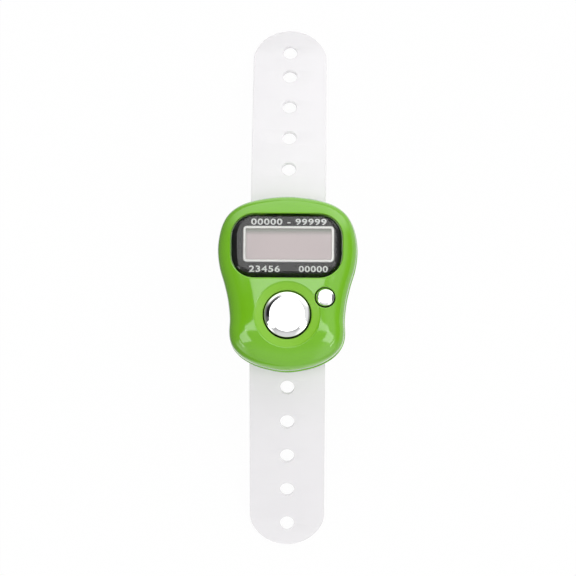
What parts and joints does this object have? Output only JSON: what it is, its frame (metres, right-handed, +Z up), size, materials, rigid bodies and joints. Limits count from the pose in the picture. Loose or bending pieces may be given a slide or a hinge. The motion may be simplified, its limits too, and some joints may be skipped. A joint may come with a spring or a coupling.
{
  "type": "finger tally counter",
  "caption": "Finger-worn electronic tally counter: green moulded case with display window, large chrome count button, small reset button, on a perforated clear strap",
  "frame": {"origin": "on the surface that the strap tips stand on, under the middle of the overall length", "axes": "+X across the case to the reset button's side, +Y along the strap to the display end, +Z up out of the face"},
  "size_m": [0.028, 0.1076, 0.0245],
  "materials": {
    "green_shell": "glossy moulded",
    "clear_lens": "clear acrylic",
    "dark_mask": "printed dark grey",
    "silver_line": "silver foil",
    "display_film": "lilac grey film",
    "display_glass": "clear",
    "contact_rubber": "layered conductive rubber",
    "board": "solder mask",
    "resin": "black resin",
    "chip_ceramic": "plain",
    "chrome_cap": "bright plated plastic",
    "dome_rubber": "soft",
    "cell_steel": "bright",
    "contact_brass": "sprung sheet",
    "screw_steel": "plated",
    "strap_rubber": "translucent satin"
  },
  "bodies": {
    "case": {"front_cover": "green_shell", "rear_cover": "green_shell", "window_lens": "clear_lens", "mask_plate": "dark_mask", "display_bezel": "silver_line", "lcd_polariser": "display_film", "lcd_front_glass": "display_glass", "lcd_rear_glass": "display_glass", "lcd_reflector": "display_film", "zebra_strip": "contact_rubber", "circuit_board": "board", "chip_blob": "resin", "supply_capacitor": "chip_ceramic", "count_dome": "dome_rubber", "reset_dome": "dome_rubber", "button_cell": "cell_steel", "positive_contact": "contact_brass", "negative_contact": "contact_brass", "case_screw_1": "screw_steel", "case_screw_2": "screw_steel", "case_screw_3": "screw_steel", "case_screw_4": "screw_steel", "board_screw_1": "screw_steel", "board_screw_2": "screw_steel", "strap_centre": "strap_rubber"},
    "count_key": {"count_button": "chrome_cap"},
    "reset_key": {"reset_button": "chrome_cap"},
    "upper_tail": {"strap_upper_tail": "strap_rubber"},
    "lower_tail": {"strap_lower_tail": "strap_rubber"}
  },
  "joints": [
    {"name": "count_press", "type": "slide", "parent": "case", "child": "count_key", "axis": [0, 0, -1], "range_m": [0, 0.0008], "stiffness_N_per_m": 1200, "deforming": ["count_dome"]},
    {"name": "reset_press", "type": "slide", "parent": "case", "child": "reset_key", "axis": [0, 0, -1], "range_m": [0, 0.0005], "stiffness_N_per_m": 1500, "deforming": ["reset_dome"]},
    {"name": "upper_tail_bend", "type": "hinge", "parent": "case", "child": "upper_tail", "pos_m": [0, 0.01255, 0.0136], "axis": [-1, 0, 0], "range_deg": [-10, 65], "stiffness_Nm_per_rad": 0.15},
    {"name": "lower_tail_bend", "type": "hinge", "parent": "case", "child": "lower_tail", "pos_m": [0, -0.01515, 0.0136], "axis": [1, 0, 0], "range_deg": [-10, 65], "stiffness_Nm_per_rad": 0.15}
  ]
}
